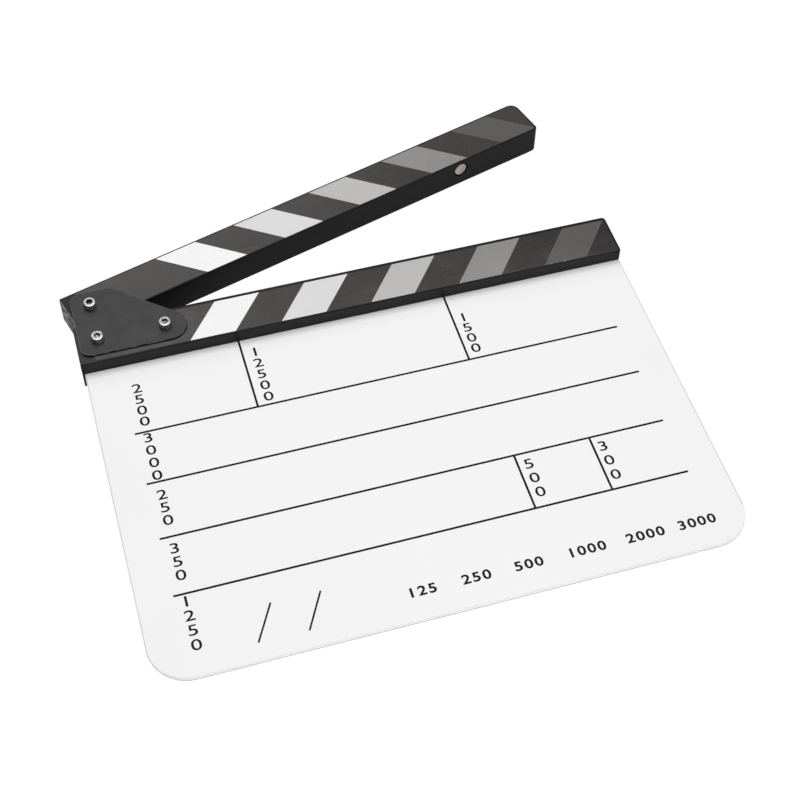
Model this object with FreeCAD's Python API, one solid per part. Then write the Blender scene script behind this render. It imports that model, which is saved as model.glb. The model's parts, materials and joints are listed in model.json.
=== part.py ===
"""Clapperboard: a dry-erase acrylic slate with two striped sticks, the upper one on a hinge.

Millimetres. The slate lies on its back: X runs along its width, Y up its height and +Z out of
its written face. The origin is the middle of the slate's bottom edge. The upper stick stands open.
"""
import FreeCAD
import Part
import math
import os

from FreeCAD import Vector

# Slate: a white acrylic sheet whose top edge is glued into the lower stick
slate_width = 250.0
slate_height = 165.4
slate_thickness = 2.0
slate_corner_radius = 17.0

# Sticks: painted hardwood bars with eased edges
stick_thickness = 15.0
stick_edge_radius = 0.4
lower_stick_height = 22.1
lower_stick_overhang = 1.0
lower_stick_tip_overhang = 0.3
lower_stick_corner_radius = 1.5
lower_stick_foot_radius = 0.8
upper_stick_height = 21.2
upper_stick_length = 248.1
upper_stick_corner_radius = 4.5
upper_stick_tip_radius = 2.0
slot_depth = 8.1
slot_clearance = 0.05
strike_gap = 0.6

# Hinge: the pivot, the heel that stops the upper stick, and the swing it stands at
pivot_from_slate_edge = 8.8
pivot_over_strike_face = 9.0
heel_overhang = 9.8
stop_angle = 45.0
stop_clearance = 0.1
open_angle = 15.8
pivot_clearance = 0.05
side_clearance = 0.1

# Hinge plates: flat sheet metal, one on each side of the sticks
plate_thickness = 0.8
plate_margin = 8.4
plate_nose_reach = 1.3
plate_top_reach = 10.4
plate_corner_radius = 4.5
plate_apex_radius = 3.0
plate_edge_break = 0.2
clamp_screw_spacing = 30.0
clamp_screw_height = 11.7

# Fasteners: M3 socket head cap screws, washers and lock nuts with a nylon ring
screw_diameter = 3.0
screw_head_diameter = 5.5
screw_head_height = 3.0
screw_head_edge = 0.35
screw_socket_width = 2.5
screw_socket_depth = 1.5
screw_tip_reach = 3.7
screw_tip_chamfer = 0.4
screw_hole_clearance = 0.1
thread_clearance = 0.02
washer_diameter = 7.0
washer_thickness = 0.5
nut_width = 5.5
nut_hex_height = 2.7
nut_collar_height = 1.3
nut_collar_wall = 0.35
nut_collar_lip = 0.25
nut_chamfer = 0.3
nylon_thickness = 1.2
nylon_clearance = 0.02

# Printed stripe films on the front of the sticks
label_thickness = 0.2
label_left_inset = 6.9
label_margin = 0.5
lower_label_foot_margin = 0.3
lower_label_top_margin = 2.1
upper_label_top_margin = 1.0

# Magnets that hold the closed sticks together
magnet_diameter = 7.0
magnet_thickness = 3.0
magnet_clearance = 0.3
magnet_recess = 0.2
magnet_from_pivot = 192.8
magnet_off_middle = 1.7

# Places that follow from the sizes above
slate_left = -slate_width / 2
stick_front = stick_thickness / 2
stick_back = -stick_front
lower_foot = slate_height - slot_depth
lower_top = lower_foot + lower_stick_height
lower_left = slate_left - lower_stick_overhang
lower_right = slate_width / 2 + lower_stick_tip_overhang
strike_face = lower_top + strike_gap
pivot_x = slate_left + pivot_from_slate_edge
pivot_y = strike_face + pivot_over_strike_face
upper_left = pivot_x - heel_overhang
upper_right = upper_left + upper_stick_length
upper_top = strike_face + upper_stick_height
upper_front = stick_front - side_clearance
upper_back = stick_back + side_clearance
clamp_y = lower_foot + clamp_screw_height
magnet_x = pivot_x + magnet_from_pivot
plate_front = stick_front + label_thickness + plate_thickness
plate_back = stick_back - plate_thickness
washer_back = plate_back - washer_thickness
nut_back = washer_back - nut_hex_height - nut_collar_height
screw_tip = nut_back - screw_tip_reach
screw_hole_radius = screw_diameter / 2 + screw_hole_clearance
thread_radius = screw_diameter / 2 + thread_clearance

SCREW_PLACES = {
    "pivot": (pivot_x, pivot_y),
    "left_clamp": (pivot_x, clamp_y),
    "right_clamp": (pivot_x + clamp_screw_spacing, clamp_y),
}
CLAMP_PLACES = [SCREW_PLACES["left_clamp"], SCREW_PLACES["right_clamp"]]


def rounded_face(corners):
    """Flat face from corners (x, y, radius), each with a radius rounded by a tangent arc."""
    places = [Vector(x, y, 0) for x, y, radius in corners]
    rounds = []
    for index, (x, y, radius) in enumerate(corners):
        here = places[index]
        to_last = (places[index - 1] - here).normalize()
        to_next = (places[(index + 1) % len(places)] - here).normalize()
        half_angle = to_last.getAngle(to_next) / 2
        setback = radius / math.tan(half_angle)
        depth = radius / math.sin(half_angle) - radius
        inward = (to_last + to_next).normalize()
        rounds.append((here + to_last * setback, here + inward * depth, here + to_next * setback))
    edges = []
    for index, (start, middle, end) in enumerate(rounds):
        if corners[index][2] > 0:
            edges.append(Part.Arc(start, middle, end).toShape())
        next_start = rounds[(index + 1) % len(rounds)][0]
        edges.append(Part.LineSegment(end, next_start).toShape())
    return Part.Face(Part.Wire(edges))


def slab(face, low, high):
    """Solid of a flat face between two heights."""
    raised = face.copy()
    raised.translate(Vector(0, 0, low))
    return raised.extrude(Vector(0, 0, high - low))


def turned(profile, place):
    """Solid of revolution about a vertical axis at place, from (radius, z) points."""
    points = [Vector(radius, 0, z) for radius, z in profile]
    face = Part.Face(Part.makePolygon(points + points[:1]))
    solid = face.revolve(Vector(0, 0, 0), Vector(0, 0, 1), 360)
    solid.translate(Vector(place[0], place[1], 0))
    return solid


def hexagon(width, place):
    """Flat hexagon, given across its flats."""
    radius = width / math.sqrt(3)
    corners = []
    for side in range(6):
        angle = math.radians(60 * side)
        corners.append((place[0] + radius * math.cos(angle), place[1] + radius * math.sin(angle), 0))
    return rounded_face(corners)


def through_hole(radius, place, low, high):
    """Cutter for a round hole along Z that reaches past both heights."""
    reach = high - low
    return Part.makeCylinder(radius, 3 * reach, Vector(place[0], place[1], low - reach))


def eased(bar, long_direction):
    """Bar with the edges along its length rounded, as planed wood has them."""
    edges = []
    for edge in bar.Edges:
        if edge.Curve.TypeId == "Part::GeomLine":
            if abs(edge.tangentAt(edge.FirstParameter).dot(long_direction)) > 0.999:
                edges.append(edge)
    return bar.makeFillet(stick_edge_radius, edges)


def magnet_pocket(face_y, into):
    """Cutter for the round pocket that a magnet drops into."""
    depth = magnet_thickness + magnet_recess
    radius = magnet_diameter / 2 + magnet_clearance
    return Part.makeCylinder(radius, depth, Vector(magnet_x, face_y, magnet_off_middle), into)


def magnet(face_y, into):
    """Disc magnet seated on the floor of its pocket, just below the stick's face."""
    mouth = Vector(magnet_x, face_y, magnet_off_middle) + into * magnet_recess
    return Part.makeCylinder(magnet_diameter / 2, magnet_thickness, mouth, into)


def slate_board():
    """Acrylic sheet, with its two bottom corners rounded."""
    half = slate_width / 2
    sheet = rounded_face([
        (-half, 0, slate_corner_radius),
        (half, 0, slate_corner_radius),
        (half, slate_height, 0),
        (-half, slate_height, 0),
    ])
    return slab(sheet, -slate_thickness / 2, slate_thickness / 2)


def lower_stick():
    """Bar with a saw slot along its foot for the slate, and a magnet pocket in its top."""
    outline = rounded_face([
        (lower_left, lower_foot, 0),
        (lower_right, lower_foot, lower_stick_foot_radius),
        (lower_right, lower_top, lower_stick_corner_radius),
        (lower_left, lower_top, 0),
    ])
    bar = eased(slab(outline, stick_back, stick_front), Vector(1, 0, 0))
    slot_half = slate_thickness / 2 + slot_clearance
    slot = Part.makeBox(
        2 * slate_width, 2 * slot_depth, 2 * slot_half,
        Vector(-slate_width, lower_foot - slot_depth, -slot_half),
    )
    cutters = [slot, magnet_pocket(lower_top, Vector(0, -1, 0))]
    for place in CLAMP_PLACES:
        cutters.append(through_hole(screw_hole_radius, place, stick_back, stick_front))
    return bar.cut(cutters)


def upper_stick():
    """Bar whose heel is rounded below the pivot and ends in a flat that stops the swing."""
    slope = math.radians(stop_angle)
    flat_from_pivot = pivot_over_strike_face + strike_gap - stop_clearance
    heel_x = pivot_x + (pivot_over_strike_face * math.cos(slope) - flat_from_pivot) / math.sin(slope)
    flat_rise = (heel_x - upper_left) * math.tan(slope)
    outline = rounded_face([
        (heel_x, strike_face, pivot_over_strike_face),
        (upper_right, strike_face, upper_stick_tip_radius),
        (upper_right, upper_top, upper_stick_corner_radius),
        (upper_left, upper_top, 0),
        (upper_left, strike_face + flat_rise, 0),
    ])
    bar = eased(slab(outline, upper_back, upper_front), Vector(1, 0, 0))
    bore_radius = screw_diameter / 2 + pivot_clearance
    bore = through_hole(bore_radius, SCREW_PLACES["pivot"], upper_back, upper_front)
    return bar.cut([bore, magnet_pocket(strike_face, Vector(0, 1, 0))])


def lower_stripe_label():
    """Film on the front of the lower stick, under the hinge plate at its left end."""
    low = lower_foot + lower_label_foot_margin
    high = lower_top - lower_label_top_margin
    left = lower_left + label_left_inset
    right = lower_right - label_margin
    film = slab(
        rounded_face([(left, low, 0), (right, low, 0), (right, high, 0), (left, high, 0)]),
        stick_front, stick_front + label_thickness,
    )
    holes = [through_hole(screw_hole_radius, place, stick_front, plate_front) for place in CLAMP_PLACES]
    return film.cut(holes)


def upper_stripe_label():
    """Film on the front of the upper stick, following its rounded end."""
    low = strike_face + label_margin
    high = upper_top - upper_label_top_margin
    left = upper_left + label_left_inset
    right = upper_right - label_margin
    film = slab(
        rounded_face([
            (left, low, 0),
            (right, low, max(upper_stick_tip_radius - label_margin, 0)),
            (right, high, max(upper_stick_corner_radius - label_margin, 0)),
            (left, high, 0),
        ]),
        upper_front, upper_front + label_thickness,
    )
    return film.cut(through_hole(screw_hole_radius, SCREW_PLACES["pivot"], upper_front, plate_front))


def hinge_plate(inner, outer):
    """Plate round the three screws, with a nose past the right one and a straight edge up to its apex."""
    nose_x = pivot_x + clamp_screw_spacing + plate_nose_reach
    nose_y = clamp_y
    left = pivot_x - plate_margin
    foot = clamp_y - plate_margin
    top = pivot_y + plate_margin
    apex_x = pivot_x + plate_top_reach
    reach = math.hypot(nose_x - apex_x, nose_y - top)
    edge_angle = math.atan2(nose_y - top, nose_x - apex_x) + math.asin(plate_margin / reach)
    nose_corner_x = apex_x + (foot - top) / math.tan(edge_angle)
    outline = rounded_face([
        (left, foot, plate_corner_radius),
        (nose_corner_x, foot, plate_margin),
        (apex_x, top, plate_apex_radius),
        (left, top, plate_corner_radius),
    ])
    plate = slab(outline, min(inner, outer), max(inner, outer))
    rim = [edge for edge in plate.Edges if abs(edge.BoundBox.ZMin - outer) + abs(edge.BoundBox.ZMax - outer) < 1e-6]
    plate = plate.makeChamfer(plate_edge_break, rim)
    holes = [through_hole(screw_hole_radius, place, stick_back, stick_front) for place in SCREW_PLACES.values()]
    return plate.cut(holes)


def cap_screw(place):
    """Socket head cap screw, its head on the front plate and its tip behind the nut."""
    shank = screw_diameter / 2
    head = screw_head_diameter / 2
    head_top = plate_front + screw_head_height
    body = turned([
        (0, screw_tip),
        (shank - screw_tip_chamfer, screw_tip),
        (shank, screw_tip + screw_tip_chamfer),
        (shank, plate_front),
        (head, plate_front),
        (head, head_top - screw_head_edge),
        (head - screw_head_edge, head_top),
        (0, head_top),
    ], place)
    socket = slab(hexagon(screw_socket_width, place), head_top - screw_socket_depth, head_top + screw_socket_depth)
    return body.cut(socket)


def washer(place):
    """Flat washer between the back plate and the nut."""
    return turned([
        (screw_hole_radius, washer_back),
        (washer_diameter / 2, washer_back),
        (washer_diameter / 2, plate_back),
        (screw_hole_radius, plate_back),
    ], place)


def lock_nut(place):
    """Hexagon nut with a round collar whose lip keeps the nylon ring in."""
    corner = nut_width / math.sqrt(3)
    flat = nut_width / 2
    hex_back = washer_back - nut_hex_height
    ring_seat = nut_back + nut_collar_lip + nylon_thickness
    ring_radius = flat - nut_collar_wall
    lip_radius = ring_radius - nut_collar_lip
    blank = slab(hexagon(nut_width, place), hex_back, washer_back)
    rounding = turned([
        (0, hex_back),
        (corner - nut_chamfer, hex_back),
        (corner, hex_back + nut_chamfer),
        (corner, washer_back - nut_chamfer),
        (corner - nut_chamfer, washer_back),
        (0, washer_back),
    ], place)
    collar = turned([(0, nut_back), (flat, nut_back), (flat, hex_back), (0, hex_back)], place)
    bore = turned([
        (0, nut_back),
        (lip_radius, nut_back),
        (lip_radius, nut_back + nut_collar_lip),
        (ring_radius, nut_back + nut_collar_lip),
        (ring_radius, ring_seat),
        (thread_radius, ring_seat),
        (thread_radius, washer_back),
        (0, washer_back),
    ], place)
    return blank.common(rounding).fuse(collar).cut(bore).removeSplitter()


def nylon_ring(place):
    """Nylon ring in the collar of a lock nut, between its seat and its lip."""
    outer = nut_width / 2 - nut_collar_wall - nylon_clearance
    low = nut_back + nut_collar_lip
    high = low + nylon_thickness
    return turned([(thread_radius, low), (outer, low), (outer, high), (thread_radius, high)], place)


def swung_open(shape):
    """Piece of the upper stick, turned about the pivot from closed to its open stand."""
    turned_shape = shape.copy()
    turned_shape.rotate(Vector(pivot_x, pivot_y, 0), Vector(0, 0, 1), open_angle)
    return turned_shape


pieces = {
    "slate_board": slate_board(),
    "lower_stick": lower_stick(),
    "lower_stripe_label": lower_stripe_label(),
    "lower_magnet": magnet(lower_top, Vector(0, -1, 0)),
    "front_hinge_plate": hinge_plate(stick_front + label_thickness, plate_front),
    "back_hinge_plate": hinge_plate(stick_back, plate_back),
    "upper_stick": swung_open(upper_stick()),
    "upper_stripe_label": swung_open(upper_stripe_label()),
    "upper_magnet": swung_open(magnet(strike_face, Vector(0, 1, 0))),
}
for name, place in SCREW_PLACES.items():
    pieces[name + "_screw"] = cap_screw(place)
    pieces[name + "_washer"] = washer(place)
    pieces[name + "_lock_nut"] = lock_nut(place)
    pieces[name + "_nylon_ring"] = nylon_ring(place)

os.makedirs("parts", exist_ok=True)
for name, shape in pieces.items():
    shape.exportStep("parts/" + name + ".step")
    print(name, "solids", len(shape.Solids), "valid", shape.isValid(), "volume", round(shape.Volume, 2))
print("pivot", round(pivot_x, 4), round(pivot_y, 4), "screw length", round(plate_front - screw_tip, 3))
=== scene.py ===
"""Clapperboard, dressed for its picture.

Slate, print, sticks, films, magnets and fasteners are modelled here with their fine detail.
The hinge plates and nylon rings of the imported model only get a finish. All is in metres, in the
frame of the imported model: the board lies on its back with its written face up.
"""
import bmesh
import bpy
import json
import math

from mathutils import Matrix, Vector


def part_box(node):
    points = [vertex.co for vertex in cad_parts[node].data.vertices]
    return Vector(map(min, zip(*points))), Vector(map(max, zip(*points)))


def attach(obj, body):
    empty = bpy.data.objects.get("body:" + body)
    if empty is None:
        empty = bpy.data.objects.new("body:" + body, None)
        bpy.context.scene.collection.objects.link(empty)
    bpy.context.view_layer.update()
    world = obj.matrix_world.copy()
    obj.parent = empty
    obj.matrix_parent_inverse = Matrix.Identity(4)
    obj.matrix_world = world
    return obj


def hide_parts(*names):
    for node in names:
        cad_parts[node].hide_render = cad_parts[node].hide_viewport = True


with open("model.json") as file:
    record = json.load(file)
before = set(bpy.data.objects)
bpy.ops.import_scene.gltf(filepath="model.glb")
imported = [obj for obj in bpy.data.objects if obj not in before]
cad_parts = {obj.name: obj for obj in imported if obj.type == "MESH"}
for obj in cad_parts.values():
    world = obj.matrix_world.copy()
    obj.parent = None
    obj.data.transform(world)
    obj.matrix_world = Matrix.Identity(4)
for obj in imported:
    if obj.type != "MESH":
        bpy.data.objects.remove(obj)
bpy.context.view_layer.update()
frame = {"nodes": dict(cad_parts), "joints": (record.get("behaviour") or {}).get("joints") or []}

# Slate
# A 2 mm sheet of white acrylic, sawn to size with its two bottom corners rounded and its rims broken.
# Its face is satin so that a dry marker wipes off, and its top edge is glued into the lower stick.
slate_corner = 0.017
slate_rim = 0.0004
slate_back_rim = 0.0002
edge_shade_reach = 0.0007
left_edge_shade_share = 0.55
contact_shade_start = -0.0001
contact_shade_full = -0.0005
touching = 1e-6
weld_reach = 1e-7
acrylic_white = (0.867, 0.867, 0.866, 1)
acrylic_clouded = (0.855, 0.855, 0.855, 1)
acrylic_edge = (0.86, 0.86, 0.855, 1)
acrylic_painted_edge_shade = (0.56, 0.555, 0.55, 1)
acrylic_painted_contact_shade = (0.37, 0.325, 0.325, 1)
acrylic_smudge = 0.05
acrylic_roughness = 0.36
acrylic_specular = 0.35


def pick(kind, passes):
    """Selects only those vertices, edges or faces of the edited mesh that pass a test."""
    bpy.ops.mesh.select_mode(type=kind)
    bpy.ops.mesh.select_all(action="DESELECT")
    edited = bmesh.from_edit_mesh(bpy.context.object.data)
    items = {"VERT": edited.verts, "EDGE": edited.edges, "FACE": edited.faces}[kind]
    for item in items:
        if passes(item):
            item.select_set(True)
    bmesh.update_edit_mesh(bpy.context.object.data)


def finish_mesh(smooth_angle):
    """Leaves edit mode with clean outward faces, smooth below an angle and even on large faces."""
    bpy.ops.mesh.select_all(action="SELECT")
    bpy.ops.mesh.remove_doubles(threshold=weld_reach)
    bpy.ops.mesh.normals_make_consistent(inside=False)
    bpy.ops.object.mode_set(mode="OBJECT")
    bpy.ops.object.shade_smooth_by_angle(angle=math.radians(smooth_angle))
    evener = bpy.context.object.modifiers.new("even_faces", "WEIGHTED_NORMAL")
    evener.keep_sharp = True
    bpy.ops.object.modifier_apply(modifier=evener.name)
    return bpy.context.object


def node(tree, kind, *plugs, **options):
    """Adds a node with its settings; each plug gives a socket a value or another node's output."""
    added = tree.nodes.new(kind)
    for option, value in options.items():
        setattr(added, option, value)
    for socket, value in plugs:
        if isinstance(value, bpy.types.NodeSocket):
            tree.links.new(value, added.inputs[socket])
        else:
            added.inputs[socket].default_value = value
    return added


def calc(tree, operation, *values):
    """Output of a Math node on one to three numbers or outputs."""
    return node(tree, "ShaderNodeMath", *enumerate(values), operation=operation).outputs[0]


def fade(tree, value, start, end, low=0.0, high=1.0):
    """Output that runs smoothly from low to high while a value goes from start to end."""
    ramp = node(
        tree, "ShaderNodeMapRange", ("Value", value), ("From Min", start), ("From Max", end),
        ("To Min", low), ("To Max", high), interpolation_type="SMOOTHSTEP",
    )
    return ramp.outputs["Result"]


def blend_colour(tree, share, first, second):
    """Output between two colours, which go into the two colour sockets of a Mix node."""
    plugs = ("Factor", share), (6, first), (7, second)
    return node(tree, "ShaderNodeMix", *plugs, data_type="RGBA").outputs[2]


def apart(tree, vector):
    """X, Y and Z outputs of a vector output."""
    return node(tree, "ShaderNodeSeparateXYZ", ("Vector", vector)).outputs


def noise(tree, place, scale, detail=2.0, roughness=0.5):
    """Output of a noise pattern, around one half."""
    plugs = ("Vector", place), ("Scale", scale), ("Detail", detail), ("Roughness", roughness)
    return node(tree, "ShaderNodeTexNoise", *plugs).outputs["Fac"]


def stretched(tree, place, stretch, turn=0.0):
    """Place output turned about Z and scaled along its axes, for patterns that run one way."""
    plugs = ("Vector", place), ("Rotation", (0, 0, turn)), ("Scale", stretch)
    return node(tree, "ShaderNodeMapping", *plugs).outputs["Vector"]


def new_finish(name):
    """New material: the material, its node tree, its shader and the place on the piece."""
    finish = bpy.data.materials.new(name)
    finish.use_nodes = True
    tree = finish.node_tree
    where = node(tree, "ShaderNodeTexCoord")
    return finish, tree, tree.nodes["Principled BSDF"], where


def roughen(tree, shader, height, strength, distance):
    """Gives a shader the relief of a height output."""
    plugs = ("Height", height), ("Strength", strength), ("Distance", distance)
    tree.links.new(node(tree, "ShaderNodeBump", *plugs).outputs["Normal"], shader.inputs["Normal"])


def new_effect(name, inputs, outputs):
    """New shader node group with named sockets: the group, its inputs and its outputs."""
    group = bpy.data.node_groups.new(name, "ShaderNodeTree")
    for label, kind, value in inputs:
        socket = group.interface.new_socket(label, in_out="INPUT", socket_type=kind)
        socket.default_value = value
    for label in outputs:
        group.interface.new_socket(label, in_out="OUTPUT", socket_type="NodeSocketFloat")
    return group, group.nodes.new("NodeGroupInput").outputs, group.nodes.new("NodeGroupOutput").inputs


def handling_marks():
    """Effect of use: soft smudges from hands and fine scratches, for any smooth surface."""
    group, given, result = new_effect(
        "handling_marks",
        [("Place", "NodeSocketVector", (0, 0, 0)), ("Size", "NodeSocketFloat", 0.03)],
        ["Smudge", "Scratch"],
    )
    scale = calc(group, "DIVIDE", 1.0, given["Size"])
    smudge = fade(group, noise(group, given["Place"], scale, 4.0, 0.6), 0.42, 0.7)
    lines = []
    for turn, stretch in ((0.5, (1, 14, 1)), (-0.9, (1, 18, 1)), (1.3, (1, 11, 1))):
        run = noise(group, stretched(group, given["Place"], stretch, turn), scale, 3.0)
        lines.append(fade(group, calc(group, "ABSOLUTE", calc(group, "SUBTRACT", run, 0.5)), 0.004, 0.0))
    scratch = calc(group, "MAXIMUM", calc(group, "MAXIMUM", lines[0], lines[1]), lines[2])
    group.links.new(smudge, result["Smudge"])
    group.links.new(scratch, result["Scratch"])
    return group


marks = handling_marks()


def marked(tree, where, size):
    """Places the handling marks in a material: its smudges and its scratches."""
    plugs = ("Place", where.outputs["Object"]), ("Size", size)
    effect = node(tree, "ShaderNodeGroup", *plugs, node_tree=marks)
    return effect.outputs["Smudge"], effect.outputs["Scratch"]


def set_gloss(tree, shader, roughness, *changes):
    """Gives a shader its roughness and what each mark or pattern output adds to it."""
    for pattern, change in changes:
        roughness = calc(tree, "MULTIPLY_ADD", pattern, change, roughness)
    tree.links.new(roughness, shader.inputs["Roughness"])


def block(low, high):
    """Square-edged block between two corners, left in edit mode."""
    bpy.ops.object.select_all(action="DESELECT")
    bpy.ops.mesh.primitive_cube_add(size=1, location=(low + high) / 2, scale=high - low)
    bpy.ops.object.transform_apply()
    bpy.ops.object.mode_set(mode="EDIT")
    return bpy.context.object


slate_low, slate_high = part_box("slate_board")
slate = block(slate_low, slate_high)
pick("EDGE", lambda edge: (
    edge.verts[0].co.y < slate_corner and edge.verts[0].co.xy == edge.verts[1].co.xy
))
bpy.ops.mesh.bevel(offset=slate_corner, segments=20, affect="EDGES")
pick("EDGE", lambda edge: min(vert.co.z for vert in edge.verts) > 0)
bpy.ops.mesh.bevel(offset=slate_rim, segments=3, affect="EDGES")
pick("EDGE", lambda edge: max(vert.co.z for vert in edge.verts) < slate_low.z + touching)
bpy.ops.mesh.bevel(offset=slate_back_rim, segments=2, affect="EDGES")
finish_mesh(smooth_angle=40)
slate.name = "slate"

finish, tree, shader, where = new_finish("satin_acrylic")
place = where.outputs["Object"]
smudge, scratch = marked(tree, where, acrylic_smudge)
cloud = noise(tree, place, 16.0, 3.0)
face_colour = blend_colour(tree, fade(tree, cloud, 0.3, 0.7), acrylic_white, acrylic_clouded)
facing = apart(tree, where.outputs["Normal"])
polished = fade(tree, calc(tree, "ABSOLUTE", facing["Z"]), 0.6, 0.1)
spot = apart(tree, place)
# Painted shade: the rims at the left and right sides are tinted grey, the left one about half as much,
# as the shade on the sides; the same mask gives them a rough bump.
from_left = calc(tree, "SUBTRACT", spot["X"], slate_low.x)
from_right = calc(tree, "SUBTRACT", slate_high.x, spot["X"])
left_edge_shade = fade(tree, from_left, edge_shade_reach, edge_shade_reach / 2, 0.0, left_edge_shade_share)
right_edge_shade = fade(tree, from_right, edge_shade_reach, edge_shade_reach / 2)
sawn_and_edge_shade = calc(tree, "MAXIMUM", left_edge_shade, right_edge_shade)
# Painted shade: the back half of the sheet's edge is tinted dark, as the shade under the board's edge.
painted_contact_shade = calc(tree, "MULTIPLY", polished, fade(tree, spot["Z"], contact_shade_start, contact_shade_full))
edge_colour = blend_colour(tree, polished, face_colour, acrylic_edge)
edge_colour = blend_colour(tree, sawn_and_edge_shade, edge_colour, acrylic_painted_edge_shade)
tree.links.new(blend_colour(tree, painted_contact_shade, edge_colour, acrylic_painted_contact_shade), shader.inputs["Base Color"])
set_gloss(tree, shader, acrylic_roughness, (smudge, 0.06), (scratch, 0.05))
peel = noise(tree, place, 900.0, 2.0)
roughen(tree, shader, calc(tree, "MULTIPLY_ADD", sawn_and_edge_shade, noise(tree, place, 2500.0), peel), 0.06, 0.0002)
shader.inputs["Specular IOR Level"].default_value = acrylic_specular
slate.data.materials.append(finish)
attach(slate, "slate")
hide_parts("slate_board")

# Ruled lines
# The fields of the slate: screen-printed rules, bars and date strokes of matt black ink.
# The ink stands a few hundredths of a millimetre proud of the acrylic, with its edges cut clean.
ink_thickness = 0.00004
ink_sink = 0.00001
rule_width = 0.00096
stroke_width = 0.00076
rule_start = -0.1100
rule_end = 0.1093
rule_heights = (0.1194, 0.0927, 0.06485, 0.0372)
upper_bars = (-0.05633, 0.03937)
lower_bars = (0.04149, 0.07535)
date_strokes = ((-0.0824, 0.0080, -0.0738, 0.0240), (-0.0621, 0.0077, -0.0535, 0.0238))
ink_black = (0.003, 0.003, 0.0032, 1)
ink_thin = (0.006, 0.006, 0.0065, 1)
ink_roughness = 0.42
ink_specular = 0.12


def raise_ink():
    """Gives the flat print being edited its thickness on the slate."""
    bpy.ops.mesh.select_all(action="SELECT")
    bpy.ops.mesh.extrude_region_move(TRANSFORM_OT_translate={"value": (0, 0, ink_thickness + ink_sink)})


def printed_ink():
    """Material of the print: dense black with a slight mottle where the screen laid less ink."""
    finish, tree, shader, where = new_finish("printed_ink")
    place = where.outputs["Object"]
    mottle = fade(tree, noise(tree, place, 1500.0, 3.0), 0.45, 0.75)
    tree.links.new(blend_colour(tree, mottle, ink_black, ink_thin), shader.inputs["Base Color"])
    set_gloss(tree, shader, ink_roughness, (mottle, 0.15))
    shader.inputs["Specular IOR Level"].default_value = ink_specular
    roughen(tree, shader, noise(tree, place, 4000.0), 0.1, 0.00005)
    return finish


ink = printed_ink()
ink_bed = slate_high.z - ink_sink
stick_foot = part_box("lower_stick")[0].y
half_width = rule_width / 2
strokes = [(rule_start, height, rule_end, height, rule_width) for height in rule_heights]
for bar in upper_bars:
    strokes.append((bar, rule_heights[0] + half_width, bar, stick_foot + half_width, rule_width))
for bar in lower_bars:
    strokes.append((bar, rule_heights[3] + half_width, bar, rule_heights[2] - half_width, rule_width))
strokes.extend((*ends, stroke_width) for ends in date_strokes)
lines = []
for x, y, end_x, end_y, width in strokes:
    bpy.ops.object.select_all(action="DESELECT")
    bpy.ops.mesh.primitive_plane_add(
        size=1, location=((x + end_x) / 2, (y + end_y) / 2, ink_bed),
        rotation=(0, 0, math.atan2(end_y - y, end_x - x)),
    )
    bpy.context.object.scale = (math.hypot(end_x - x, end_y - y), width, 1)
    bpy.ops.object.transform_apply()
    lines.append(bpy.context.object)
for line in lines:
    line.select_set(True)
bpy.ops.object.join()
bpy.ops.object.mode_set(mode="EDIT")
raise_ink()
rules = finish_mesh(smooth_angle=30)
rules.name = "slate_rules"
rules.data.materials.append(ink)
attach(rules, "slate")

# Printed numbers
# Plain numbers that run down the fields and a row of spaced bold ones along the foot,
# screen-printed with the rules in the same ink.
figure_height = 0.0047
figure_rise = 0.682
figure_weight = 0.00005
figure_spacing = 1.0
figure_widening = 1.35
figure_smoothness = 8
figure_weld_reach = 1e-5
row_height = 0.0041
row_weight = 0.00016
row_spacing = 1.2
row_widening = 1.2
row_baseline = 0.0108
field_columns = [
    (-0.1046, 0.1458, 0.1228, "2500"),
    (-0.1049, 0.1185, 0.0938, "3000"),
    (-0.1049, 0.0883, 0.0707, "250"),
    (-0.1051, 0.0614, 0.0437, "350"),
    (-0.1056, 0.0360, 0.0114, "1250"),
    (-0.0506, 0.1518, 0.1215, "12500"),
    (0.0443, 0.1458, 0.1227, "1500"),
    (0.0462, 0.0615, 0.0422, "500"),
    (0.0795, 0.0616, 0.0418, "300"),
]
row_groups = [
    ("125", -0.0148),
    ("250", 0.0079),
    ("500", 0.0300),
    ("1000", 0.0548),
    ("2000", 0.0803),
    ("3000", 0.1029),
]


def print_number(body, place, height, line_pitch, spacing, widening, weight):
    """Flat number on the slate, centred on a place, made a mesh."""
    bpy.ops.object.select_all(action="DESELECT")
    bpy.ops.object.text_add()
    number = bpy.context.object
    number.data.body = body
    number.data.size = height / figure_rise
    number.data.align_x = "CENTER"
    number.data.space_line = line_pitch / number.data.size
    number.data.space_character = spacing
    number.data.offset = weight
    number.data.resolution_u = figure_smoothness
    bpy.ops.object.convert(target="MESH")
    number = bpy.context.object
    number.scale = (widening, 1, 1)
    number.location = (place[0], place[1], ink_bed)
    bpy.ops.object.transform_apply()
    bpy.ops.object.mode_set(mode="EDIT")
    bpy.ops.mesh.select_all(action="SELECT")
    bpy.ops.mesh.remove_doubles(threshold=figure_weld_reach)
    bpy.ops.object.mode_set(mode="OBJECT")
    return number


figures = []
for x, top, foot, digits in field_columns:
    pitch = (top - foot - figure_height) / (len(digits) - 1)
    first = (x, top - figure_height)
    figures.append(print_number(
        "\n".join(digits), first, figure_height, pitch, figure_spacing, figure_widening, figure_weight,
    ))
for body, x in row_groups:
    figures.append(print_number(
        body, (x, row_baseline), row_height, row_height, row_spacing, row_widening, row_weight,
    ))
for figure in figures:
    figure.select_set(True)
bpy.ops.object.join()
bpy.ops.object.mode_set(mode="EDIT")
raise_ink()
numbers = finish_mesh(smooth_angle=30)
numbers.name = "slate_numbers"
numbers.data.materials.clear()
numbers.data.materials.append(ink)
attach(numbers, "slate")

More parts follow.
